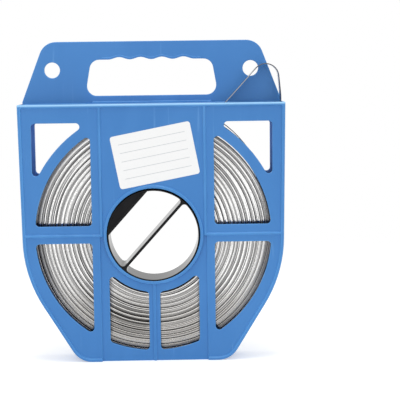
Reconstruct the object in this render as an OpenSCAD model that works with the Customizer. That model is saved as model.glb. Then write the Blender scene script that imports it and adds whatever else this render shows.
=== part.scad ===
// Coil of flat steel strap in a two-part moulded carrying case with a handle.
// The case stands on its flat foot: X runs across it, the front faces -Y and Z is up.

/* [Strap] */
// Width of the steel strap
strap_w = 12.7; // [10:0.1:18]
// Thickness of the steel strap
strap_t = 0.76; // [0.5:0.02:0.84]
// Radius of the coil's bore
coil_bore_r = 52; // [50:0.5:55]
// Turns of strap on the coil
turns = 61; // [56:1:66]
// Room that one turn takes along the radius, strap and air
turn_pitch = 0.92; // [0.9:0.005:0.95]
// How far the edge of a turn strays to either side
turn_play = 0.3; // [0.1:0.05:0.4]
// Share of the free room beside it by which the coil has slid to the back
coil_slid = 0.72; // [0:0.02:0.8]

/* [Free end] */
// Gap between the free end and the side of the case at the mouth
tail_gap = 0.3; // [0.2:0.05:1]
// How deep the free end leaves the coil under its outer face
tail_sink = 0.8; // [0.6:0.05:1.2]
// Radius of the bend at the mouth
tail_bend_r = 60; // [40:1:90]
// Inward lean of the free end above the case, in degrees
tail_tilt = 5.7; // [3:0.1:8]
// Straight height of the free end below its loop
tail_rise = 14.5; // [8:0.5:20]
// Radius of the loop
loop_r = 11.3; // [9:0.1:14]
// Slope of the leg that goes back into the case, in degrees
loop_slope = 47.6; // [45:0.1:52]
// Length of the leg that goes back into the case
tuck_len = 56; // [50:0.5:60]

/* [Case] */
// Thickness of the case's edge wall
wall = 2.2; // [1.6:0.1:3]
// Thickness of the front and back plates
plate_t = 2; // [1.6:0.1:3]
// Room between the set-back plates, which also takes wider strap
room_d = 22; // [21:0.1:24]
// How far the set-back plates lie behind the main plates
recess_d = 1.5; // [1:0.1:2.5]
// Height of the rim, ribs and ring above the main plates
rim_h = 1.3; // [0.8:0.1:2]
// Width of the rim
rim_w = 3; // [2.4:0.1:4]
// Width of the ribs
rib_w = 2.4; // [1.6:0.1:3.2]
// Gap between the coil and the floor of the case, with the core in the middle of its hole
seat_gap = 1.3; // [1:0.05:1.6]
// Gap between the coil and the sides of the case
side_gap = 2.94; // [2:0.02:4]
// Gap between the coil and the top wall of the case
top_gap = 3.1; // [3:0.1:6]
// Outward lean of the sides, in degrees
side_lean = 0.8; // [0.5:0.02:1.5]
// Angle below the axis at which the round sides turn into the flanks
flank_a = 31.6; // [29:0.1:36]
// How far the middle of the round sides lies below the axis
side_drop = 2.9; // [0:0.1:4]
// Radius of the corners beside the foot
foot_r = 19.5; // [12:0.5:24]

/* [Windows] */
// Width of coil edge that the round band covers
band_cover = 5.8; // [4:0.1:8]
// Width of the round band beside the corner windows
band_w = 9; // [6:0.1:11]
// Distance of the side windows from the middle
post_x = 53; // [50:0.5:58]
// Width of the cross bar above the axis
bar_up = 8.3; // [6:0.1:11]
// Width of the cross bar below the axis
bar_down = 6.9; // [5:0.1:10]
// Width of the post between the two bottom windows
mullion_w = 9.8; // [6:0.1:14]
// Distance of the bottom windows' outer sides from the middle
bottom_window_x = 39; // [34:0.5:40]
// Width of the core's edge that shows in the bottom windows
bore_show = 1.5; // [0.5:0.1:2]
// Height of the plate above the corner windows
corner_margin = 16; // [13:0.1:18]
// Side margin of the corner windows, from the inner side of the case
corner_side = 7.6; // [5:0.1:9]
// Corner radius of the windows
window_r = 3.2; // [2:0.1:4]
// Distance of the upright ribs from the middle
rib_x = 45; // [44:0.1:48]
// Width of the raised ring around the hole
ring_w = 2.9; // [2:0.1:3.3]

/* [Mouths] */
// Distance of the strap mouths from the middle
mouth_x = 56; // [50:0.5:58]
// How much narrower the mouths are than the room, on each side
mouth_side = 0.85; // [0.5:0.05:1]

/* [Handle] */
// How far the handle's feet stand in from the corners of the case
handle_inset = 0.7; // [0.5:0.1:6]
// Height of the handle above the case
handle_h = 53.6; // [50:0.1:60]
// Thickness of the handle plate
handle_t = 3; // [2.4:0.1:4]
// Inward lean of the handle's sides, in degrees
handle_lean = 21.3; // [17:0.1:23]
// Radius of the handle's upper corners
handle_r = 15; // [10:0.5:18]
// Radius of the handle's lower corners
handle_foot_r = 3; // [2:0.1:4]
// Half width of the grip hole at the level of the case's top
grip_half = 59.3; // [56:0.1:64]
// Height of the grip hole's lower side above the case
grip_z = 6.5; // [5:0.1:9]
// Height of the grip hole
grip_h = 31.3; // [29:0.1:34]
// Inward lean of the grip hole's ends, in degrees
grip_lean = 10; // [5:0.1:13]
// Corner radius of the grip hole
grip_r = 8.5; // [6:0.1:10]
// Spacing of the finger scallops
finger_pitch = 18.7; // [17:0.1:20]
// Depth of the finger scallops
finger_d = 2.1; // [1:0.1:3]
// Width of the lip that follows the scallops
lip_w = 1.8; // [1:0.1:2.5]
// Height of that lip above the plate
lip_h = 0.6; // [0.3:0.05:1]
// Half length of that lip
lip_half = 43; // [40:0.5:43]
// Radius of the hanging holes
hang_r = 6.8; // [5:0.1:8]
// Distance of the hanging holes' middle from the sides of the handle
hang_side = 15; // [12:0.1:18]
// Height of the hanging holes above the case
hang_z = 29.1; // [26:0.1:31]
// Half length of the ledge in front of the handle
ledge_half = 52; // [45:0.5:54]
// Height of that ledge above the case
ledge_h = 1.5; // [0.8:0.1:2.5]
// Depth of that ledge
ledge_d = 3.8; // [2:0.1:5]

/* [Core] */
// Radius of the hole in the plates
hole_r = 40.4; // [38:0.1:42]
// Gap between the core's journals and the hole
journal_gap = 0.6; // [0.4:0.05:0.8]
// Wall of the core's journals
journal_wall = 1; // [0.8:0.1:1.6]
// How far the journals end behind the ring's face
journal_back = 0.25; // [0.1:0.05:1]
// Gap between the core's rim and the innermost turn
core_gap = 0.1; // [0.08:0.01:0.3]
// Running gap under the core's journals where they rest
core_seat = 0.1; // [0.08:0.01:0.3]
// Gap between the core's rim and the set-back plates
core_side = 0.5; // [0.3:0.05:1]
// Thickness of the core's outer rim
core_rim_t = 2; // [1.6:0.1:3]
// Thickness of the core's web
core_web_t = 2.4; // [1.6:0.1:4]
// Thickness of the bars across the core
bar_t = 2.4; // [1.8:0.1:3.2]
// Angle of the bars across the core, in degrees
bar_a = 48; // [30:0.5:60]
// Fillet where the middle bar meets the core
bar_fillet = 3; // [1.5:0.1:4]
// Distance of the side bar's inner face from the core's axis
chord_x = 29.3; // [26:0.1:32]
// How far the plate behind the side bar is set back
chord_back = 1.5; // [0.8:0.1:3]

/* [Label] */
// Width of the paper label
label_w = 70; // [60:0.5:72]
// Height of the paper label
label_h = 46; // [40:0.5:47]
// Thickness of the paper label
label_t = 0.15; // [0.1:0.01:0.3]
// Turn of the label, in degrees
label_a = 10.9; // [8:0.1:12]
// Gap between the label's lower side and the ring
label_gap = 0.9; // [0.5:0.1:2]
// Sideways place of the label's middle
label_x = 2.3; // [-2:0.1:3]
// Corner radius of the label
label_r = 2.4; // [1:0.1:4]

/* [Hidden] */
$fn = 120;
arc_tol = 0.06;
// How far a cut runs past a face, and how deep one form is let into another
over = 1;
let_in = 0.4;
// Turn between neighbouring strays of the winding, and start of the handle's foot rounding
stray_a = 137.5;
foot_a = -60;
// Steps of each finger scallop
finger_steps = 8;

coil_r = coil_bore_r + (turns - 1) * turn_pitch + strap_t;
axis_z = wall + seat_gap + coil_r;
case_r = coil_r + side_gap + wall;
case_top = coil_r + top_gap + wall;

recess_in = room_d / 2;
recess_out = recess_in + plate_t;
panel_in = recess_in + recess_d;
panel_out = panel_in + plate_t;
rim_out = panel_out + rim_h;

ring_r = hole_r + ring_w;
rib_z = rib_w / 2;
recess_x = rib_x + rib_w / 2;
window_out_r = coil_r - band_cover;
window_in_r = coil_bore_r - bore_show;
corner_r = window_out_r + band_w;
corner_top = case_top - corner_margin;
corner_x = case_r - wall - corner_side;

handle_in = panel_out - handle_t;
handle_half = side_x(case_top, handle_inset);
hang_x = lean_x(handle_half, handle_lean, hang_z, hang_side);
mouth_half = recess_in - mouth_side;
mouth_end = side_x(case_top, wall);
grip_top = case_top + grip_z + grip_h;

journal_r = hole_r - journal_gap;
core_in_r = journal_r - journal_wall;
core_rim_r = coil_bore_r - core_gap;
core_drop = journal_gap - core_seat;
core_half = recess_in - core_side;
coil_y = coil_slid * (core_half - strap_w / 2);
journal_half = rim_out - journal_back;

// Points of an arc about centre c, from angle a0 to angle a1, true to within arc_tol
function arc(c, r, a0, a1) =
    let (step = 2 * acos(1 - arc_tol / r))
    let (n = max(2, ceil(abs(a1 - a0) / step)))
    [for (i = [0:n]) c + r * dir(a0 + (a1 - a0) * i / n)];
function dir(a) = [cos(a), sin(a)];
function left_of(a) = [-sin(a), cos(a)];
function reversed(p) = [for (i = [len(p) - 1:-1:0]) p[i]];
function mirrored(p) = [for (q = reversed(p)) [-q[0], q[1]]];
// Angle of a point, and the third side of a right triangle
function angle_of(p) = atan2(p[1], p[0]);
function leg(hyp, side) = sqrt(hyp * hyp - side * side);

// Half width of the case at height z above the axis, d inside its outer face
function side_x(z, d) = (case_r - d + z * sin(side_lean)) / cos(side_lean);

// Right side of the case, from top to foot, d inside its outer face
function case_side(d) =
    let (round_c = -side_drop * [sin(side_lean), cos(side_lean)])
    let (flank_r = case_r + side_drop * sin(flank_a - side_lean))
    let (foot_z = foot_r - axis_z)
    let (foot_x = (flank_r - foot_r + foot_z * sin(flank_a)) / cos(flank_a))
    concat([[side_x(case_top - d, d), case_top - d]],
           arc(round_c, case_r - d, -side_lean, -flank_a),
           arc([foot_x, foot_z], foot_r - d, -flank_a, -90));

// Plates and walls lie in the XZ plane: a slab of a flat shape from y0 to y1
module slab(y0, y1) {
    translate([0, y1, axis_z]) rotate([90, 0, 0]) linear_extrude(y1 - y0) children();
}

module case_outline(d) {
    polygon(concat(case_side(d), mirrored(case_side(d))));
}

module both_sides() {
    children();
    mirror([1, 0]) children();
}

// Window above the cross bar: two straight sides and the round band
module side_window(z0) {
    r = window_r;
    d = window_out_r - r;
    low = [leg(d, z0 + r), z0 + r];
    high = [post_x + r, leg(d, post_x + r)];
    polygon(concat(arc([post_x + r, z0 + r], r, 270, 180),
                   arc(high, r, 180, angle_of(high)),
                   arc([0, 0], window_out_r, angle_of(high), angle_of(low)),
                   arc(low, r, angle_of(low), -90)));
}

// Window below the ring, between the inner and outer edges of the coil
module bottom_window() {
    r = window_r;
    x0 = mullion_w / 2 + r;
    x1 = bottom_window_x - r;
    d0 = window_in_r + r;
    d1 = window_out_r - r;
    in0 = [x0, -leg(d0, x0)];
    in1 = [x1, -leg(d0, x1)];
    out0 = [x0, -leg(d1, x0)];
    out1 = [x1, -leg(d1, x1)];
    polygon(concat(arc(in0, r, 180, angle_of(in0) + 180),
                   arc([0, 0], window_in_r, angle_of(in0), angle_of(in1)),
                   arc(in1, r, angle_of(in1) + 180, 0),
                   arc(out1, r, 0, angle_of(out1)),
                   arc([0, 0], window_out_r, angle_of(out1), angle_of(out0)),
                   arc(out0, r, angle_of(out0), -180)));
}

// Three-sided window in the upper corner, outside the round band
module corner_window() {
    r = window_r;
    d = corner_r + r;
    z = corner_top - r;
    x = corner_x - r;
    near_top = [leg(d, z), z];
    near_side = [x, leg(d, x)];
    polygon(concat(arc([x, z], r, 0, 90),
                   arc(near_top, r, 90, 180 + angle_of(near_top)),
                   arc([0, 0], corner_r, angle_of(near_top), angle_of(near_side)),
                   arc(near_side, r, 180 + angle_of(near_side), 360)));
}

module windows() {
    both_sides() {
        side_window(bar_up);
        mirror([0, 1]) side_window(bar_down);
        bottom_window();
        corner_window();
    }
}

// Lower middle of the case, set back behind the main plate and grown by d
module recess_area(d) {
    translate([-recess_x - d, -axis_z - over])
        square([2 * (recess_x + d), axis_z + over - rib_z + d]);
}

// Ribs that run down beside the ring and out to the sides
module ribs() {
    both_sides() {
        translate([rib_x - rib_w / 2, -rib_z]) square([rib_w, case_top]);
        translate([rib_x, -rib_z]) square([case_r, rib_w]);
    }
}

// Edge wall, plates, rim and ribs of one half, from its open side at Y = 0
module half_body() {
    difference() {
        union() {
            slab(-panel_out, 0) difference() {
                case_outline(0);
                case_outline(wall);
            }
            slab(-panel_out, -panel_in) case_outline(0);
            slab(-rim_out, -panel_in) difference() {
                case_outline(0);
                case_outline(rim_w);
            }
            slab(-rim_out, -panel_in) intersection() {
                case_outline(rim_w / 2);
                ribs();
            }
        }
        slab(-rim_out - over, -recess_out) recess_area(0);
    }
    slab(-recess_out, -recess_in) intersection() {
        case_outline(0);
        recess_area(plate_t);
    }
    slab(-recess_out - rim_h, -recess_in)
        translate([-rib_w / 2, -axis_z]) square([rib_w, axis_z - hole_r]);
    slab(-rim_out, -recess_in) circle(ring_r);
}

// Half of the case: the body with its windows, hole and strap mouths cut out
module case_half() {
    difference() {
        half_body();
        slab(-rim_out - over, -over) windows();
        slab(-rim_out - over, -over) circle(hole_r);
        slab(-mouth_half, over) both_sides()
            translate([mouth_x, case_top - wall - over])
                square([mouth_end - mouth_x, wall + 2 * over]);
    }
}

// Side line of a shape on the handle: x at height h for half width b and lean a
function lean_x(b, a, h, inset) = (b * cos(a) - inset - h * sin(a)) / cos(a);

function handle_side() =
    let (h1 = handle_h - handle_r)
    let (h0 = handle_foot_r * sin(handle_lean))
    concat([[0, case_top + handle_h]],
           reversed(arc([lean_x(handle_half, handle_lean, h1, handle_r), case_top + h1],
                        handle_r, handle_lean, 90)),
           reversed(arc([lean_x(handle_half, handle_lean, h0, handle_foot_r), case_top + h0],
                        handle_foot_r, foot_a, handle_lean)),
           [[handle_half - 2 * handle_foot_r, case_top - handle_foot_r],
            [0, case_top - handle_foot_r]]);

module handle_outline() {
    both_sides() polygon(handle_side());
}

// Height of the finger scallops above the grip hole's upper side
function finger_wave(x) =
    abs(x) < 2 * finger_pitch ? finger_d * (1 - cos(360 * x / finger_pitch)) / 2 : 0;
function finger_edge(half, rise) =
    let (n = ceil(half * finger_steps / finger_pitch))
    [for (i = [-n:n]) [half * i / n, grip_top + finger_wave(half * i / n) + rise]];

function grip_side() =
    let (h0 = grip_z + grip_r, h1 = grip_z + grip_h - grip_r)
    concat(arc([lean_x(grip_half, grip_lean, h0, grip_r), case_top + h0],
               grip_r, -90, grip_lean),
           arc([lean_x(grip_half, grip_lean, h1, grip_r), case_top + h1],
               grip_r, grip_lean, 90));

module grip_hole() {
    polygon(concat(grip_side(), reversed(finger_edge(lip_half, 0)), mirrored(grip_side())));
}

module grip_lip() {
    polygon(concat(finger_edge(lip_half, 0), reversed(finger_edge(lip_half, lip_w))));
}

// The strap's free end: straight up the side, bent at the mouth, looped and tucked back
mouth_p = [side_x(case_top, wall + tail_gap + strap_t / 2), case_top];
tail_d = coil_r - tail_sink - strap_t / 2;
tail_a = angle_of(mouth_p) - acos(tail_d / norm(mouth_p));
up_a = 90 + tail_a;
tilt_a = 90 + tail_tilt;
down_a = 180 + loop_slope;
bend_c = mouth_p + tail_bend_r * left_of(up_a);
loop_c = bend_c - tail_bend_r * left_of(tilt_a) + tail_rise * dir(tilt_a)
         + loop_r * left_of(tilt_a);
tuck_p = loop_c - loop_r * left_of(down_a) + tuck_len * dir(down_a);
function tail_side(s) =
    concat([tail_d * dir(tail_a) + s * left_of(up_a)],
           arc(bend_c, tail_bend_r - s, up_a - 90, tilt_a - 90),
           arc(loop_c, loop_r - s, tilt_a - 90, down_a - 90),
           [tuck_p + s * left_of(down_a)]);

// Edge of each turn on one end of the coil: every other turn stands out beside its neighbours
function turn_shift(i) = turn_play * (i % 2 == 0 ? 1 : -1) * (1 - abs(sin(i * stray_a)) / 2);
function turn_edges(side) =
    [for (i = [0:turns - 1])
        let (r = coil_bore_r + i * turn_pitch, z = side * strap_w / 2 + turn_shift(i))
        each [[r, z], [r + (i < turns - 1 ? turn_pitch : strap_t), z]]];

// Fillet between the middle bar and the core's bore, on one side of one end
module bar_corner() {
    b = bar_t / 2 + bar_fillet;
    c = [leg(core_in_r - bar_fillet, b), b];
    deep = core_in_r + journal_wall / 2;
    root = bar_t / 2 - let_in;
    polygon(concat(arc(c, bar_fillet, -90, angle_of(c)),
                   [deep * dir(angle_of(c)), [deep, root], [c[0], root]]));
}

module core_bars() {
    rotate(bar_a) {
        square([2 * core_in_r + journal_wall, bar_t], center = true);
        both_sides() {
            bar_corner();
            mirror([0, 1]) bar_corner();
        }
        intersection() {
            circle(core_in_r + journal_wall / 2);
            translate([-core_in_r, chord_x]) square([2 * core_in_r, bar_t]);
        }
    }
}

module ring_of(r0, r1) {
    difference() {
        circle(r1);
        circle(r0);
    }
}

module front_half() {
    color("royalblue") case_half();
}

module back_half() {
    color("royalblue") {
        difference() {
            union() {
                mirror([0, 1, 0]) case_half();
                slab(handle_in, panel_out) handle_outline();
                slab(handle_in - lip_h, handle_in + let_in) grip_lip();
            }
            slab(handle_in - over, panel_out + over) {
                grip_hole();
                both_sides() translate([hang_x, case_top + hang_z]) circle(hang_r);
            }
        }
        slab(handle_in - ledge_d, handle_in + let_in)
            translate([-ledge_half, case_top - wall])
                square([2 * ledge_half, wall + ledge_h]);
    }
}

module steel_coil() {
    color("silver") translate([0, coil_y, -core_drop]) {
        translate([0, 0, axis_z]) rotate([90, 0, 0]) rotate_extrude()
            polygon(concat(turn_edges(-1), reversed(turn_edges(1))));
        slab(-strap_w / 2 - turn_shift(turns - 1), strap_w / 2 - turn_shift(turns - 1))
            polygon(concat(tail_side(-strap_t / 2), reversed(tail_side(strap_t / 2))));
    }
}

module core() {
    color("black") translate([0, 0, -core_drop]) {
        slab(-journal_half, journal_half) ring_of(core_in_r, journal_r);
        slab(-journal_half, journal_half) core_bars();
        slab(-core_half, core_half) ring_of(core_rim_r - core_rim_t, core_rim_r);
        slab(-core_web_t / 2, core_web_t / 2)
            ring_of(journal_r - journal_wall / 2, core_rim_r - core_rim_t / 2);
        slab(-journal_half + chord_back, -journal_half + chord_back + core_web_t) rotate(bar_a)
            intersection() {
                circle(core_in_r + journal_wall / 2);
                translate([-core_in_r, chord_x + bar_t / 2]) square([2 * core_in_r, core_in_r]);
            }
    }
}

module paper_label() {
    x = label_w / 2 - label_r;
    z = label_h / 2 - label_r;
    rise = ring_r + label_gap + label_h / 2;
    color("white") slab(-panel_out - label_t, -panel_out)
        translate([label_x, (rise + label_x * sin(label_a)) / cos(label_a)]) rotate(label_a)
            polygon(concat(arc([x, z], label_r, 0, 90), arc([-x, z], label_r, 90, 180),
                           arc([-x, -z], label_r, 180, 270), arc([x, -z], label_r, 270, 360)));
}

front_half();
back_half();
steel_coil();
core();
paper_label();
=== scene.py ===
"""Looks of a coil of steel strap in a blue moulded carrying case."""

import math
import random

import bmesh
import bpy
from mathutils import Matrix, Vector


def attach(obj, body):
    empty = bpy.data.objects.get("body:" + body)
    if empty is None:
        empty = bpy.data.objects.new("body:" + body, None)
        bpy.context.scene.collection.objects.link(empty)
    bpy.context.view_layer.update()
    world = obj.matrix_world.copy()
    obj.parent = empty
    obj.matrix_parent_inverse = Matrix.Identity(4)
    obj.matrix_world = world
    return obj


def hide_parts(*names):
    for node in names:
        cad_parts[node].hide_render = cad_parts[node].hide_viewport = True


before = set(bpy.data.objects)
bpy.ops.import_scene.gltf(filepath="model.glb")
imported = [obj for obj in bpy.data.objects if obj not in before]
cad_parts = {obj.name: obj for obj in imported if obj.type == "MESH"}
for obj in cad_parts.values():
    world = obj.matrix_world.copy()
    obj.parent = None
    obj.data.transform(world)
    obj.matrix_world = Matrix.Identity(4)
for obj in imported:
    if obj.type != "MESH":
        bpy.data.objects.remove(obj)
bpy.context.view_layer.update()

# Sizes of the strap and its path, as in the part's source, in metres
STRAP_W = 0.0127
STRAP_T = 0.00076
STRAP_EDGE_R = 0.0001
BORE_R = 0.052
COIL_R = 0.10796
AXIS_Z = 0.11146
CORE_DROP = 0.0005
COIL_Y = 0.002988
CASE_TOP = 0.11326
TOP_Z = AXIS_Z + CASE_TOP
MOUTH_X = 0.11181
TAIL_SINK = 0.0008
TAIL_BEND_R = 0.060
TAIL_TILT = math.radians(5.7)
TAIL_RISE = 0.0145
LOOP_R = 0.0113
LOOP_SLOPE = math.radians(47.6)
TUCK_LEN = 0.056

# How the turns lie: points a turn, air between close turns, wider gaps between groups of turns,
# turns in a bright ribbon of painted highlight, stray of an edge and its seed, and rates and seed
# of the slow waves
STEPS_A_TURN = 100
AIR_LEAST = 0.00003
GAP_WIDE = 0.00063
GROUP_TURNS = 4.3
GAP_EASE = 0.12
RIBBON_TURNS = 1.4
EDGE_STRAY = 0.00042
STRAY_SEED = 7.3
WAVE_RATES = (0.061, 0.113, 0.737, 1.31)
WAVE_SEED = 61

# Where turns stand off from the others on the upper right: from which turn, how far, and the
# degrees between which they leave and come back
OPEN_TURN = 54.24
OPEN_GAP = 0.0014
OPEN_LEAVES = (8, 36)
OPEN_RETURNS = (60, 95)

# How far the last turn has sprung out as well, and the degrees between which it does
LOOSE_GAP = 0.0078
LOOSE_LEAVES = (16, 64)
LOOSE_RETURNS = (66, 100)

# Heights over which the tone of the cut edges leaves the lower part's and the deepest part's, and
# reaches the upper part's; low down the edges are painted duller and darker, as painted shade
LOW_Z = (0.02, 0.09)
DEEP_Z = (0.01, 0.06)
UPPER_Z = (0.1, 0.12)

# Turns between which those on the lower left grow darker, and paler again
DUSK_FROM = (13, 21)
DUSK_TO = (37, 43)

# Largest edge roundings, which edges of the raised front and back take, the shares that other
# edges and inner corners take, and what counts as sharp and as flat
CASE_EDGE_R = 0.0009
CORE_EDGE_R = 0.0005
LABEL_EDGE_R = 0.00005
RAISED_Y = 0.0157
PLAIN_SHARE = 0.6
CORNER_SHARE = 0.33
SHARP_DEGREES = 40
FLAT_LIMIT = 0.9998

# The low lip over the finger scallops, and the share of the rounding that it takes
LIP_LOW = Vector((-0.0435, 0.0105, 0.262))
LIP_HIGH = Vector((0.0435, 0.0117, 0.2672))
LIP_SHARE = 0.25

# The label's middle and turn, and the rules printed on it
LABEL_MIDDLE = (0.0023, -0.0146, 0.18034)
LABEL_TURN = math.radians(10.9)
RULE_PITCH = 0.0075
RULE_HALF = 0.00016
RULED_HALF_W = 0.029
RULED_HALF_H = 0.0165

# The floor's size and where it fades out, the light that it seems to give back where it is seen,
# so that it matches the background, and the soft light of the room
FLOOR_R = 1.2
FLOOR_FADE = (0.22, 0.75)
FLOOR_LIFT = 0.36
ROOM_LIGHT = 0.67

# Blues of the case: plain; rubbed, with a painted highlight on raised faces and rounded edges;
# scratched;
# painted light on the inner faces; and a painted highlight on the top edge
BLUE_DEEP = (0.032, 0.182, 0.485, 1.0)
BLUE_FULL = (0.042, 0.204, 0.52, 1.0)
BLUE_GRAIN = (0.03, 0.16, 0.455, 1.0)
BLUE_RUBBED_AND_HIGHLIT = (0.085, 0.32, 0.69, 1.0)
BLUE_SCRATCHED = (0.13, 0.34, 0.66, 1.0)
BLUE_INNER_PAINTED_LIGHT = (0.095, 0.225, 0.6, 1.0)
BLUE_TOP_HIGHLIGHT = (0.33, 0.62, 0.9, 1.0)

# Camera, fitted to the photo's frame of 400 pixels
FRAME_PX = 400
FOCUS_PX = 1151.3
CAMERA_AT = (0.02317, -1.0008, 0.25501)
CAMERA_PITCH = math.radians(6.581)
CAMERA_YAW = math.radians(1.011)
CAMERA_ROLL = math.radians(-0.724)


# Short ways to add nodes

def node(tree, kind, settings=None, **inputs):
    """Add a node, with its settings and with values or sockets for its named inputs."""
    made = tree.nodes.new(kind)
    for key, value in (settings or {}).items():
        setattr(made, key, value)
    for key, value in inputs.items():
        feed(tree, made.inputs[key.replace("_", " ")], value)
    return made


def feed(tree, socket, value):
    """Wire a socket into an input, or set the input to a plain value."""
    if isinstance(value, bpy.types.NodeSocket):
        tree.links.new(value, socket)
    else:
        socket.default_value = value


def sum_of(tree, operation, first, second=0.0, third=0.0):
    """A Math node's result."""
    made = node(tree, "ShaderNodeMath", {"operation": operation})
    for socket, value in zip(made.inputs, (first, second, third)):
        feed(tree, socket, value)
    return made.outputs[0]


def blend(tree, share, first, second, mode="MIX"):
    """A mix of two colours."""
    made = node(tree, "ShaderNodeMix", {"data_type": "RGBA", "blend_type": mode})
    feed(tree, made.inputs[0], share)
    feed(tree, made.inputs[6], first)
    feed(tree, made.inputs[7], second)
    return made.outputs[2]


def between(tree, value, low, high, to_low=0.0, to_high=1.0):
    """A value stretched smoothly from one span to another."""
    made = node(tree, "ShaderNodeMapRange", {"interpolation_type": "SMOOTHSTEP"})
    for socket, given in zip(made.inputs, (value, low, high, to_low, to_high)):
        feed(tree, socket, given)
    return made.outputs[0]


def cloud(tree, where, scale, detail=3.0, stretch=None):
    """Soft noise of so many cells a metre, stretched where asked."""
    if stretch:
        where = node(tree, "ShaderNodeMapping", Vector=where, Scale=stretch).outputs[0]
    return node(tree, "ShaderNodeTexNoise", Vector=where, Scale=scale, Detail=detail).outputs["Fac"]


def colour(red, green, blue):
    return (red, green, blue, 1.0)


def group_of(name, inputs, outputs):
    """A shader node group with named inputs, given with their values, and named outputs."""
    tree = bpy.data.node_groups.new(name, "ShaderNodeTree")
    for label, kind, value in inputs:
        socket = tree.interface.new_socket(label, in_out="INPUT", socket_type=kind)
        if value is not None:
            socket.default_value = value
    for label, kind in outputs:
        tree.interface.new_socket(label, in_out="OUTPUT", socket_type=kind)
    return tree, node(tree, "NodeGroupInput").outputs, node(tree, "NodeGroupOutput").inputs


# Shared surface effects

def moulded_grain():
    """Fine grain and slow flow marks of moulded plastic."""
    tree, given, out = group_of(
        "moulded_grain",
        [("Where", "NodeSocketVector", None), ("Grain a metre", "NodeSocketFloat", 3000.0),
         ("Flow a metre", "NodeSocketFloat", 22.0)],
        [("Grain", "NodeSocketFloat"), ("Flow", "NodeSocketFloat")])
    grain = cloud(tree, given["Where"], given["Grain a metre"], 2.0)
    bent = node(tree, "ShaderNodeMapping", Vector=given["Where"], Scale=(1.0, 1.0, 0.35)).outputs[0]
    flow = node(tree, "ShaderNodeTexNoise", Vector=bent, Scale=given["Flow a metre"], Detail=4.0,
                Distortion=1.2).outputs["Fac"]
    feed(tree, out["Grain"], grain)
    feed(tree, out["Flow"], between(tree, flow, 0.3, 0.7))
    return tree


def handling_marks():
    """Patches where hands and packing have rubbed a surface, and fine scratches."""
    tree, given, out = group_of(
        "handling_marks",
        [("Where", "NodeSocketVector", None), ("Patches a metre", "NodeSocketFloat", 30.0),
         ("Scratches a metre", "NodeSocketFloat", 350.0)],
        [("Rubbed", "NodeSocketFloat"), ("Scratched", "NodeSocketFloat")])
    patches = cloud(tree, given["Where"], given["Patches a metre"], 5.0)
    feed(tree, out["Rubbed"], between(tree, patches, 0.5, 0.72))
    turned = node(tree, "ShaderNodeMapping", Vector=given["Where"], Rotation=(0.3, 0.9, 0.2),
                  Scale=(1.0, 1.0, 0.04)).outputs[0]
    streaks = cloud(tree, turned, given["Scratches a metre"], 1.0)
    thin = between(tree, streaks, 0.68, 0.74)
    feed(tree, out["Scratched"], sum_of(tree, "MULTIPLY", thin, between(tree, patches, 0.42, 0.62)))
    return tree


GRAIN = moulded_grain()
MARKS = handling_marks()


def finish_of(name):
    """A new material, with its tree, its main shader and its Object coordinates."""
    made = bpy.data.materials.new(name)
    made.use_nodes = True
    tree = made.node_tree
    shader = tree.nodes["Principled BSDF"]
    where = node(tree, "ShaderNodeTexCoord").outputs["Object"]
    return made, tree, shader, where


def bump(tree, shader, height, strength, distance):
    made = node(tree, "ShaderNodeBump", Height=height, Strength=strength, Distance=distance)
    feed(tree, shader.inputs["Normal"], made.outputs[0])


def facing_y(tree):
    """How far a surface faces front or back, from -1 to 1."""
    normal = node(tree, "ShaderNodeNewGeometry").outputs["Normal"]
    return node(tree, "ShaderNodeSeparateXYZ", Vector=normal).outputs["Y"]


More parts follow.
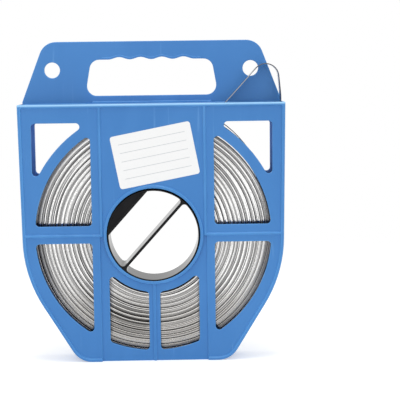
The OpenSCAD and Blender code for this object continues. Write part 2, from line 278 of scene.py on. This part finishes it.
def case_plastic():
    """Blue polypropylene with fine grain and flow marks.

    Raised faces and rounded edges are paler, partly rubbed and partly a painted highlight; the top
    edge is palest, a painted highlight; and the inner faces are a lighter, redder blue, painted
    light.
    """
    made, tree, shader, where = finish_of("case_plastic")
    grain = node(tree, "ShaderNodeGroup", {"node_tree": GRAIN}, Where=where,
                 Grain_a_metre=2600.0, Flow_a_metre=18.0)
    marks = node(tree, "ShaderNodeGroup", {"node_tree": MARKS}, Where=where,
                 Patches_a_metre=26.0, Scratches_a_metre=420.0)
    rim = node(tree, "ShaderNodeAttribute", {"attribute_name": "rounded_edge"}).outputs["Fac"]
    flow = grain.outputs["Flow"]
    place = node(tree, "ShaderNodeSeparateXYZ", Vector=where).outputs
    depth = sum_of(tree, "ABSOLUTE", place["Y"])
    facing = facing_y(tree)
    grained = sum_of(tree, "MULTIPLY", grain.outputs["Grain"], 0.25)
    # Raised front faces are paler: partly rubbing, partly a painted highlight on the raised rim,
    # ribs and ring
    raised_rub_and_highlight = between(tree, depth, 0.0149, 0.0157, 0.0, 0.12)
    # Rounded edges are paler: rubbed, and a painted highlight along the edges
    worn_and_highlit = sum_of(tree, "MULTIPLY", rim, between(tree, flow, 0.0, 1.0, 0.25, 0.6))
    scratched = sum_of(tree, "MULTIPLY", marks.outputs["Scratched"], 0.3)
    # Painted light: the inner faces below the top take a lighter, redder blue, as if lit through
    # the plastic
    inner_painted_light = between(tree, sum_of(tree, "MULTIPLY", place["Y"], facing), -0.009, -0.004, 1.0, 0.0)
    shut_in = between(tree, place["Z"], TOP_Z - 0.003, TOP_Z - 0.001, 1.0, 0.0)
    inner_painted_light = sum_of(tree, "MULTIPLY", inner_painted_light, shut_in)
    # Painted highlight: the top front and back edge is made palest, as if lit from above
    top_edge_highlight = sum_of(tree, "MULTIPLY", between(tree, depth, 0.0115, 0.0135),
                      between(tree, place["Z"], TOP_Z - 0.0022, TOP_Z - 0.0008, 0.0, 0.8))
    up_to_top = between(tree, place["Z"], TOP_Z, TOP_Z + 0.0005, 1.0, 0.0)
    top_edge_highlight = sum_of(tree, "MULTIPLY", top_edge_highlight, up_to_top)
    blue = blend(tree, flow, BLUE_DEEP, BLUE_FULL)
    for share, other in ((grained, BLUE_GRAIN), (raised_rub_and_highlight, BLUE_RUBBED_AND_HIGHLIT), (worn_and_highlit, BLUE_RUBBED_AND_HIGHLIT),
                         (scratched, BLUE_SCRATCHED), (inner_painted_light, BLUE_INNER_PAINTED_LIGHT), (top_edge_highlight, BLUE_TOP_HIGHLIGHT)):
        blue = blend(tree, share, blue, other)
    feed(tree, shader.inputs["Base Color"], blue)
    rough = between(tree, marks.outputs["Rubbed"], 0.0, 1.0, 0.44, 0.34)
    feed(tree, shader.inputs["Roughness"], rough)
    shader.inputs["IOR"].default_value = 1.49
    bump(tree, shader, grain.outputs["Grain"], 0.35, 0.00003)
    return made


def core_plastic():
    """Black gloss plastic with faint rubbing."""
    made, tree, shader, where = finish_of("core_plastic")
    grain = node(tree, "ShaderNodeGroup", {"node_tree": GRAIN}, Where=where,
                 Grain_a_metre=1800.0, Flow_a_metre=40.0)
    marks = node(tree, "ShaderNodeGroup", {"node_tree": MARKS}, Where=where,
                 Patches_a_metre=60.0, Scratches_a_metre=500.0)
    black = blend(tree, grain.outputs["Flow"], colour(0.005, 0.005, 0.006),
                  colour(0.01, 0.01, 0.011))
    scratched = sum_of(tree, "MULTIPLY", marks.outputs["Scratched"], 0.5)
    black = blend(tree, scratched, black, colour(0.06, 0.06, 0.06))
    feed(tree, shader.inputs["Base Color"], black)
    rough = between(tree, marks.outputs["Rubbed"], 0.0, 1.0, 0.08, 0.16)
    feed(tree, shader.inputs["Roughness"], rough)
    shader.inputs["IOR"].default_value = 1.53
    shader.inputs["Specular IOR Level"].default_value = 0.13
    bump(tree, shader, grain.outputs["Grain"], 0.12, 0.00002)
    return made


def strap_steel():
    """Rolled steel with lengthwise lines, and cut edges that differ in tone from turn to turn."""
    made, tree, shader, where = finish_of("strap_steel")
    # The cut edges' tones from the path carry painted highlights and shade
    turn, tone, loose = (node(tree, "ShaderNodeAttribute", {"attribute_name": label}).outputs["Fac"]
                         for label in ("turn", "edge_tone_and_sheen", "loose"))
    place = node(tree, "ShaderNodeSeparateXYZ", Vector=where).outputs
    edge = between(tree, sum_of(tree, "ABSOLUTE", facing_y(tree)), 0.2, 0.6)
    along = node(tree, "ShaderNodeCombineXYZ", X=sum_of(tree, "MULTIPLY", turn, 2.0),
                 Y=sum_of(tree, "MULTIPLY", place["Y"], 9000.0)).outputs[0]
    lines = cloud(tree, along, 1.0, 2.0)
    marks = node(tree, "ShaderNodeGroup", {"node_tree": MARKS}, Where=where,
                 Patches_a_metre=45.0, Scratches_a_metre=600.0)
    each = sum_of(tree, "MULTIPLY_ADD", turn_noise(tree, turn, 1.37), 0.32, -0.16)
    each = sum_of(tree, "MULTIPLY", each, sum_of(tree, "SUBTRACT", 1.0, loose))
    tone = sum_of(tree, "ADD", tone, each)
    # Painted shade: low down the cut edges are duller and darker, as if they mirror less light
    low = between(tree, place["Z"], *LOW_Z, 1.0, 0.0)
    dark = blend(tree, low, colour(0.06, 0.06, 0.063), colour(0.05, 0.047, 0.043))
    dark = blend(tree, loose, dark, colour(0.05, 0.05, 0.055))
    bright = blend(tree, low, colour(1.0, 0.995, 0.985), colour(0.66, 0.635, 0.6))
    cut = blend(tree, tone, dark, bright)
    rolled = blend(tree, lines, colour(0.4, 0.39, 0.38), colour(0.66, 0.65, 0.63))
    # Painted shade: the faces of the wound turns, between the first and near the last, are near
    # black for the dark gaps between them
    inside = sum_of(tree, "MULTIPLY", between(tree, turn, 0.8, 1.2),
                    between(tree, turn, 59.0, 59.5, 1.0, 0.0))
    rolled = blend(tree, inside, rolled, colour(0.03, 0.03, 0.03))
    free = blend(tree, lines, colour(0.42, 0.44, 0.48), colour(0.6, 0.62, 0.66))
    rolled = blend(tree, loose, rolled, free)
    feed(tree, shader.inputs["Base Color"], blend(tree, edge, rolled, cut))
    shader.inputs["Metallic"].default_value = 1.0
    rough = between(tree, tone, 0.0, 1.0, 0.2, 0.08)
    rough = sum_of(tree, "ADD", rough, sum_of(tree, "MULTIPLY", marks.outputs["Rubbed"], 0.08))
    feed(tree, shader.inputs["Roughness"], rough)
    flat = sum_of(tree, "SUBTRACT", 1.0, edge)
    bump(tree, shader, sum_of(tree, "MULTIPLY", lines, flat), 0.2, 0.00001)
    return made


def turn_noise(tree, turn, rate):
    """Noise along the strap that changes so many times a turn."""
    return node(tree, "ShaderNodeTexNoise", {"noise_dimensions": "1D"},
                W=sum_of(tree, "MULTIPLY", turn, rate), Scale=1.0, Detail=0.0).outputs["Fac"]


def label_paper():
    """White coated paper with pale ruled lines and nothing written on them."""
    made, tree, shader, where = finish_of("label_paper")
    fibres = cloud(tree, where, 1400.0, 4.0)
    mottle = cloud(tree, where, 60.0, 3.0)
    paper = blend(tree, fibres, colour(0.81, 0.815, 0.815), colour(0.87, 0.872, 0.87))
    paper = blend(tree, sum_of(tree, "MULTIPLY", mottle, 0.2), paper, colour(0.78, 0.78, 0.77))
    aside = label_way(tree, where, LABEL_TURN)
    up = label_way(tree, where, LABEL_TURN + math.pi / 2)
    place = sum_of(tree, "PINGPONG", up, RULE_PITCH / 2)
    rule = between(tree, place, RULE_HALF, 2 * RULE_HALF, 1.0, 0.0)
    for way, reach in ((aside, RULED_HALF_W), (up, RULED_HALF_H)):
        away = sum_of(tree, "ABSOLUTE", way)
        inside = between(tree, away, reach, reach + RULE_HALF, 1.0, 0.0)
        rule = sum_of(tree, "MULTIPLY", rule, inside)
    ink = sum_of(tree, "MULTIPLY", rule, between(tree, fibres, 0.2, 0.6, 0.55, 0.8))
    feed(tree, shader.inputs["Base Color"], blend(tree, ink, paper, colour(0.42, 0.44, 0.47)))
    feed(tree, shader.inputs["Roughness"], between(tree, fibres, 0.3, 0.7, 0.5, 0.62))
    bump(tree, shader, fibres, 0.15, 0.00002)
    return made


def label_way(tree, where, angle):
    """Distance from the label's middle, along a direction in its plane."""
    from_middle = node(tree, "ShaderNodeVectorMath", {"operation": "SUBTRACT"})
    feed(tree, from_middle.inputs[0], where)
    feed(tree, from_middle.inputs[1], LABEL_MIDDLE)
    made = node(tree, "ShaderNodeVectorMath", {"operation": "DOT_PRODUCT"})
    feed(tree, made.inputs[0], from_middle.outputs[0])
    feed(tree, made.inputs[1], (math.cos(angle), 0.0, math.sin(angle)))
    return made.outputs["Value"]


# The moulded pieces: copies of the solids with rounded edges

def moulded_copy(name, of_node, radius, finish):
    """Merge a copy of a solid's mesh, round its edges and mark the rounded faces."""
    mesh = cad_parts[of_node].data.copy()
    mesh.name = name
    weigh_edges(mesh)
    piece = bpy.data.objects.new(name, mesh)
    bpy.context.scene.collection.objects.link(piece)
    rounding = piece.modifiers.new("rounding", "BEVEL")
    rounding.width = radius
    rounding.segments = 2
    rounding.limit_method = "WEIGHT"
    rounding.use_clamp_overlap = False
    rounding.loop_slide = False
    rounding.miter_outer = "MITER_ARC"
    rounding.face_strength_mode = "FSTR_ALL"
    settled(piece)
    refill_flats(piece.data)
    evened = piece.modifiers.new("evened", "WEIGHTED_NORMAL")
    evened.use_face_influence = True
    evened.keep_sharp = True
    settled(piece)
    mark_rounded(piece.data)
    piece.data.materials.clear()
    piece.data.materials.append(finish)
    dressed(piece, of_node)


def weigh_edges(mesh):
    """Merge the mesh, and weigh its sharp edges for the rounding, less on the low grip lip."""
    shape = bmesh.new()
    shape.from_mesh(mesh)
    bmesh.ops.remove_doubles(shape, verts=shape.verts, dist=0.000002)
    weight = shape.edges.layers.float.new("bevel_weight_edge")
    for edge in shape.edges:
        if edge.is_manifold and edge.calc_face_angle() > math.radians(SHARP_DEGREES):
            edge[weight] = edge_share(edge)
            edge.smooth = True
    for face in shape.faces:
        face.smooth = True
    shape.to_mesh(mesh)
    shape.free()


def edge_share(edge):
    """Share of the largest rounding that an edge takes."""
    places = [v.co for v in edge.verts]
    if all(all(LIP_LOW[i] < co[i] < LIP_HIGH[i] for i in range(3)) for co in places):
        return LIP_SHARE
    if not edge.is_convex:
        return CORNER_SHARE
    return 1.0 if all(abs(co.y) > RAISED_Y for co in places) else PLAIN_SHARE


def refill_flats(mesh):
    """Fill anew each flat along an axis whose thin triangles folded over in the rounding."""
    shape = bmesh.new()
    shape.from_mesh(mesh)
    flats = {}
    for face in shape.faces:
        for axis in range(3):
            if abs(face.normal[axis]) > FLAT_LIMIT:
                flats.setdefault((axis, round(face.verts[0].co[axis], 5)), []).append(face)
    for (axis, _), faces in flats.items():
        facing = sum(face.calc_area() * face.normal[axis] for face in faces)
        if any(face.normal[axis] * facing < 0 for face in faces):
            refill(shape, set(faces), axis, math.copysign(1.0, facing))
    bmesh.ops.recalc_face_normals(shape, faces=shape.faces[:])
    shape.to_mesh(mesh)
    shape.free()


def refill(shape, faces, axis, sign):
    """Take out the faces of one flat, and fill its outline and holes with fresh triangles."""
    rim = [edge for edge in shape.edges if sum(face in faces for face in edge.link_faces) == 1]
    up = Vector((0.0, 0.0, 0.0))
    up[axis] = sign
    bmesh.ops.delete(shape, geom=list(faces), context="FACES")
    made = bmesh.ops.triangle_fill(shape, use_beauty=True, use_dissolve=False, edges=rim,
                                   normal=up)
    for face in made["geom"]:
        if isinstance(face, bmesh.types.BMFace):
            face.smooth = True
            if face.normal[axis] * sign < 0:
                face.normal_flip()


def settled(piece):
    """Turn a piece with its modifiers into a plain mesh."""
    bpy.context.view_layer.update()
    seen = piece.evaluated_get(bpy.context.evaluated_depsgraph_get())
    plain = bpy.data.meshes.new_from_object(seen)
    piece.modifiers.clear()
    piece.data = plain
    plain.name = piece.name


def mark_rounded(mesh):
    """Mark the faces that round a front or back edge: all others face along or across Y."""
    mark = mesh.attributes.new("rounded_edge", "FLOAT", "FACE")
    for face in mesh.polygons:
        mark.data[face.index].value = 1.0 if 0.1 < abs(face.normal.y) < 0.99 else 0.0


def dressed(piece, of_node):
    """Let a finished piece stand for its solid."""
    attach(piece, "root")
    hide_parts(of_node)


# The strap: one strip, wound outwards, whose end loops out of the case and back in

def eased(value, low, high):
    """Smooth step from nought at the low to one at the high, and one beyond."""
    share = min(1.0, max(0.0, (value - low) / (high - low)))
    return share * share * (3 - 2 * share)


def sway(turn, phases):
    """A slow wave from -1 to 1 along the strap, made of a few rates."""
    waves = [math.sin(2 * math.pi * rate * turn + phase) for rate, phase in phases]
    return sum(waves) / len(waves)


def turns_since_gap(turn, phases):
    """Turns wound since the last group of turns ended; the groups are of uneven size."""
    return (turn / GROUP_TURNS + 0.12 * sway(turn, phases[:2])) % 1.0 * GROUP_TURNS


def air_between(turn, phases):
    """Air inside a point of the strap: little in a group, and more on the first turn of each."""
    since = turns_since_gap(turn, phases)
    gap = eased(since, 0.0, GAP_EASE) * (1 - eased(since, 1.0, 1.0 + GAP_EASE))
    gap *= eased(turn, 1.0, 2.0)
    return AIR_LEAST + GAP_WIDE * gap * (0.75 + 0.5 * sway(turn, phases[2:]))


def edge_tone_and_sheen(turn, radius, angle, phases):
    """Tone of the strap's cut edge, from dark to white.

    The tones hold painted highlights and shade. The first turns of a group are the brightest, a
    painted highlight, with darker turns beside them as painted shade. Low down every second group
    is plainer, and the turns are paler on the right than on the left, where the middle ones differ
    most. The outer turns are dark with fine lines above, from further out on the left, as a painted
    shadow of the case, and plain grey below.
    """
    since = turns_since_gap(turn, phases)
    height = AXIS_Z + radius * math.sin(angle)
    low = 1 - eased(height, *LOW_Z)
    deep = 1 - eased(height, *DEEP_Z)
    upper = eased(height, *UPPER_Z)
    left = eased(-math.cos(angle), -0.05, 0.15)
    strong = 1 - 0.6 * deep * (round((turn - since) / GROUP_TURNS) % 2)
    wide = RIBBON_TURNS + 0.6 * (1 - upper) * (1 - low)
    past = eased(since, wide, wide + GAP_EASE)
    ribbon_highlight = eased(since, 0.0, GAP_EASE) * (1 - past)
    after = past * (1 - eased(since, wide + 0.9, wide + 1))
    before = eased(since, GROUP_TURNS - 1.1, GROUP_TURNS - 1)
    dusk = left * eased(turn, *DUSK_FROM) * (1 - eased(turn, *DUSK_TO))
    plain = 0.46 - 0.1 * upper + (0.16 + 0.44 * low * dusk) * sway(turn, phases[2:])
    plain += low * (0.2 - 0.16 * left - 0.3 * dusk)
    # Painted shade on the turns beside each bright group
    beside = (0.25 + 0.65 * upper) * after + (0.3 + 0.1 * upper + 0.6 * deep) * before
    plain *= 1 - beside * strong
    tone = plain + (1 - plain) * ribbon_highlight * strong * (0.9 + 0.2 * sway(turn, phases[1:3]))
    # Outer turns: a painted shadow of the case above, plain grey below
    outer = 0.24 + 0.62 * low + (0.26 - 0.22 * low) * sway(turn, phases[2:])
    later = left * upper
    share = 0.9 * eased(turn, 48.5 - 3 * low + 4.0 * later, 51 - 2 * low + 2.5 * later)
    return tone + (outer - tone) * share


def strap_path():
    """Points of the strap's middle line about the coil's axis, with turn, tone and looseness."""
    draw = random.Random(WAVE_SEED)
    phases = [(rate, draw.uniform(0, 2 * math.pi)) for rate in WAVE_RATES]
    leave_r = COIL_R - TAIL_SINK - STRAP_T / 2
    mouth = Vector((MOUTH_X, CASE_TOP))
    leave_a = math.atan2(mouth.y, mouth.x) - math.acos(leave_r / mouth.length)
    radii = wound_radii(phases, BORE_R + STRAP_T / 2, leave_r)
    count = len(radii) - 1
    points = []
    for i, radius in enumerate(radii):
        angle = leave_a - 2 * math.pi * (count - i) / STEPS_A_TURN
        sprung = loose_turn(angle, count - i)
        turn = i / STEPS_A_TURN
        radius += sprung * LOOSE_GAP + standing_off(angle, turn) * OPEN_GAP
        # Painted reflection: the sprung-out turn's cut edges are set dark
        tone = edge_tone_and_sheen(turn, radius, angle, phases) * (1 - sprung)
        points.append((radius * math.cos(angle), radius * math.sin(angle), turn, tone, sprung))
    out, rise, tuck = leave_a + math.pi / 2, math.pi / 2 + TAIL_TILT, math.pi + LOOP_SLOPE
    here = Vector(points[-1][:2])
    # The tail's cut edges take fixed low tones, a painted reflection of dark surroundings
    tail = [(out, (mouth - here).length, 0.0, 12, 0.0),
            (out, TAIL_BEND_R, rise, 10, 0.0),
            (rise, TAIL_RISE, 0.0, 4, 0.0),
            (rise, LOOP_R, tuck, 28, 0.05),
            (tuck, TUCK_LEN, 0.0, 12, 0.25)]
    turn = points[-1][2]
    for start, size, end, steps, tone in tail:
        for place in stretch_of(here, start, size, end, steps):
            turn += (place - here).length / (2 * math.pi * COIL_R)
            here = place
            points.append((here.x, here.y, turn, tone, 1.0))
    return points


def wound_radii(phases, first, last):
    """Radius at each step of the winding: every turn lies on the one before, with some air."""
    radii = [first]
    while radii[-1] < last:
        i = len(radii)
        turn = i / STEPS_A_TURN
        if i <= STEPS_A_TURN:
            radii.append(first + (STRAP_T + AIR_LEAST) * turn)
        else:
            radii.append(radii[i - STEPS_A_TURN] + STRAP_T + air_between(turn, phases))
    step = last - radii[-1]
    return [radius + step * i / (len(radii) - 1) for i, radius in enumerate(radii)]


def standing_off(angle, turn):
    """How far the outer turns stand off from the others, on the upper right, as a share."""
    degrees = math.degrees(angle) % 360
    return (turn > OPEN_TURN) * eased(degrees, *OPEN_LEAVES) * (1 - eased(degrees, *OPEN_RETURNS))


def loose_turn(angle, steps_left):
    """How far the last full turn has sprung out, between the right side and the top, as a share."""
    if not 0 < steps_left <= STEPS_A_TURN:
        return 0.0
    degrees = math.degrees(angle) % 360
    return eased(degrees, *LOOSE_LEAVES) * (1 - eased(degrees, *LOOSE_RETURNS))


def stretch_of(start, heading, size, end, steps):
    """A straight of a length, or where an end heading is given a bend of a radius to the left."""
    if not end:
        along = Vector((math.cos(heading), math.sin(heading)))
        return [start + along * size * (i + 1) / steps for i in range(steps)]
    middle = start + size * Vector((-math.sin(heading), math.cos(heading)))
    places = []
    for i in range(steps):
        angle = heading + (end - heading) * (i + 1) / steps - math.pi / 2
        places.append(middle + size * Vector((math.cos(angle), math.sin(angle))))
    return places


def strap_tree():
    """Nodes that draw a strap along a path, with edges that stray a little from turn to turn."""
    tree = bpy.data.node_groups.new("wound_strap", "GeometryNodeTree")
    face = tree.interface
    face.new_socket("Path", in_out="INPUT", socket_type="NodeSocketGeometry")
    sizes = [("Strap width", STRAP_W), ("Strap thickness", STRAP_T), ("Edge radius", STRAP_EDGE_R),
             ("Edge stray", EDGE_STRAY), ("Stray seed", STRAY_SEED),
             ("Axis height", AXIS_Z - CORE_DROP), ("Slid back", COIL_Y)]
    for label, value in sizes:
        socket = face.new_socket(label, in_out="INPUT", socket_type="NodeSocketFloat")
        socket.default_value = value
    face.new_socket("Finish", in_out="INPUT", socket_type="NodeSocketMaterial")
    face.new_socket("Strap", in_out="OUTPUT", socket_type="NodeSocketGeometry")
    given = node(tree, "NodeGroupInput").outputs
    path = node(tree, "GeometryNodeMeshToCurve", Mesh=given["Path"]).outputs[0]
    path = node(tree, "GeometryNodeSetCurveNormal", {"mode": "Z_UP"}, Curve=path).outputs[0]
    section = node(tree, "GeometryNodeCurvePrimitiveQuadrilateral", Width=given["Strap thickness"],
                   Height=given["Strap width"]).outputs[0]
    section = node(tree, "GeometryNodeFilletCurve", {"mode": "POLY"}, Curve=section,
                   Radius=given["Edge radius"], Count=2).outputs[0]
    strip = node(tree, "GeometryNodeCurveToMesh", Curve=path, Profile_Curve=section,
                 Fill_Caps=True).outputs[0]
    turn = node(tree, "GeometryNodeInputNamedAttribute", {"data_type": "FLOAT"},
                Name="turn").outputs[0]
    drift = sum_of(tree, "MULTIPLY", stray_noise(tree, turn, 1.37, given["Stray seed"]), 0.7)
    swell = sum_of(tree, "MULTIPLY", stray_noise(tree, turn, 0.45, given["Stray seed"]), 0.5)
    stray = sum_of(tree, "MULTIPLY", sum_of(tree, "ADD", drift, swell), given["Edge stray"])
    aside = node(tree, "ShaderNodeCombineXYZ", Z=stray).outputs[0]
    strip = node(tree, "GeometryNodeSetPosition", Geometry=strip, Offset=aside).outputs[0]
    place = node(tree, "ShaderNodeCombineXYZ", Y=given["Slid back"],
                 Z=given["Axis height"]).outputs[0]
    strip = node(tree, "GeometryNodeTransform", Geometry=strip, Translation=place,
                 Rotation=(math.pi / 2, 0.0, 0.0)).outputs[0]
    strip = node(tree, "GeometryNodeRealizeInstances", Geometry=strip).outputs[0]
    strip = node(tree, "GeometryNodeSetMaterial", Geometry=strip,
                 Material=given["Finish"]).outputs[0]
    feed(tree, node(tree, "NodeGroupOutput").inputs["Strap"], strip)
    return tree


def stray_noise(tree, turn, rate, seed):
    """Noise from -1 to 1 that changes slowly along the strap but differs on the next turn."""
    at = sum_of(tree, "MULTIPLY_ADD", turn, rate, seed)
    noise = node(tree, "ShaderNodeTexNoise", {"noise_dimensions": "1D"}, W=at, Scale=1.0,
                 Detail=0.0).outputs["Fac"]
    return sum_of(tree, "MULTIPLY_ADD", noise, 4.0, -2.0)


def wound_strap(finish):
    """The strap as one mesh, from its path and the strap's nodes."""
    points = strap_path()
    mesh = bpy.data.meshes.new("strap_line")
    mesh.from_pydata([(point[0], point[1], 0.0) for point in points],
                     [(i, i + 1) for i in range(len(points) - 1)], [])
    for column, label in ((2, "turn"), (3, "edge_tone_and_sheen"), (4, "loose")):
        values = mesh.attributes.new(label, "FLOAT", "POINT")
        values.data.foreach_set("value", [point[column] for point in points])
    piece = bpy.data.objects.new("wound_strap", mesh)
    bpy.context.scene.collection.objects.link(piece)
    winding = piece.modifiers.new("winding", "NODES")
    winding.node_group = strap_tree()
    for socket in winding.node_group.interface.items_tree:
        if socket.name == "Finish":
            winding[socket.identifier] = finish
    settled(piece)
    piece.data.shade_smooth()
    piece.data.set_sharp_from_angle(angle=math.radians(50))
    dressed(piece, "steel_coil")


# The room: floor, background, lamps and camera

def seen_ray(tree):
    """One for a ray that is seen straight, mirrored or through glass, and nought elsewhere."""
    path = node(tree, "ShaderNodeLightPath").outputs
    share = sum_of(tree, "MAXIMUM", path["Is Camera Ray"], path["Is Transmission Ray"])
    return sum_of(tree, "MAXIMUM", share, path["Is Glossy Ray"])


def floor():
    """A pale round floor that fades out into the white background."""
    shape = bmesh.new()
    bmesh.ops.create_circle(shape, cap_ends=True, radius=FLOOR_R, segments=96)
    mesh = bpy.data.meshes.new("floor")
    shape.to_mesh(mesh)
    shape.free()
    made, tree, shader, where = finish_of("pale_floor")
    shader.inputs["Base Color"].default_value = colour(0.9, 0.9, 0.9)
    shader.inputs["Roughness"].default_value = 0.9
    shader.inputs["Specular IOR Level"].default_value = 0.0
    lift = sum_of(tree, "MULTIPLY", seen_ray(tree), FLOOR_LIFT)
    feed(tree, shader.inputs["Emission Strength"], lift)
    reach = node(tree, "ShaderNodeVectorMath", {"operation": "LENGTH"})
    feed(tree, reach.inputs[0], where)
    fade = between(tree, reach.outputs["Value"], *FLOOR_FADE)
    clear = node(tree, "ShaderNodeBsdfTransparent").outputs[0]
    mixed = node(tree, "ShaderNodeMixShader", Fac=fade)
    feed(tree, mixed.inputs[1], shader.outputs[0])
    feed(tree, mixed.inputs[2], clear)
    feed(tree, tree.nodes["Material Output"].inputs["Surface"], mixed.outputs[0])
    mesh.materials.append(made)
    piece = bpy.data.objects.new("floor", mesh)
    bpy.context.scene.collection.objects.link(piece)


def background():
    """White where it is seen or mirrored, and a plain soft light elsewhere."""
    world = bpy.data.worlds.new("white_room")
    bpy.context.scene.world = world
    world.use_nodes = True
    tree = world.node_tree
    plain = tree.nodes["Background"]
    plain.inputs["Color"].default_value = colour(1.0, 1.0, 1.0)
    plain.inputs["Strength"].default_value = ROOM_LIGHT
    seen = node(tree, "ShaderNodeBackground", Color=colour(1.0, 1.0, 1.0), Strength=1.0)
    mixed = node(tree, "ShaderNodeMixShader", Fac=seen_ray(tree))
    feed(tree, mixed.inputs[1], plain.outputs[0])
    feed(tree, mixed.inputs[2], seen.outputs[0])
    feed(tree, tree.nodes["World Output"].inputs["Surface"], mixed.outputs[0])


def lamp(name, place, size, power, aim=(0.0, 0.0, 0.13)):
    """A soft square lamp that faces the object."""
    light = bpy.data.lights.new(name, "AREA")
    light.shape = "SQUARE"
    light.size = size
    light.energy = power
    holder = bpy.data.objects.new(name, light)
    bpy.context.scene.collection.objects.link(holder)
    holder.location = place
    holder.rotation_euler = (Vector(aim) - Vector(place)).to_track_quat("-Z", "Y").to_euler()


def camera():
    """The camera at the photo's viewing angle, turned so that the object is left of the middle."""
    lens = bpy.data.cameras.new("camera")
    lens.sensor_fit = "HORIZONTAL"
    lens.sensor_width = 36.0
    lens.lens = FOCUS_PX * lens.sensor_width / FRAME_PX
    lens.clip_start = 0.01
    holder = bpy.data.objects.new("camera", lens)
    bpy.context.scene.collection.objects.link(holder)
    yaw = Matrix.Rotation(-CAMERA_YAW, 4, "Z")
    pitch = Matrix.Rotation(math.pi / 2 - CAMERA_PITCH, 4, "X")
    roll = Matrix.Rotation(CAMERA_ROLL, 4, "Z")
    holder.matrix_world = Matrix.Translation(CAMERA_AT) @ yaw @ pitch @ roll
    bpy.context.scene.camera = holder


camera()
background()
floor()
lamp("key_lamp", (0.0, -1.8, 0.95), 1.0, 4.0)
lamp("right_lamp", (0.85, -1.25, 0.3), 0.8, 3.1)
lamp("left_lamp", (-0.85, -1.25, 0.2), 0.8, 3.1)
lamp("top_lamp", (0.0, -0.15, 1.2), 0.5, 4.6)

case_finish = case_plastic()
moulded_copy("case_front", "front_half", CASE_EDGE_R, case_finish)
moulded_copy("case_back", "back_half", CASE_EDGE_R, case_finish)
moulded_copy("strap_core", "core", CORE_EDGE_R, core_plastic())
moulded_copy("plain_label", "paper_label", LABEL_EDGE_R, label_paper())
wound_strap(strap_steel())

bpy.context.scene.view_settings.view_transform = "Standard"
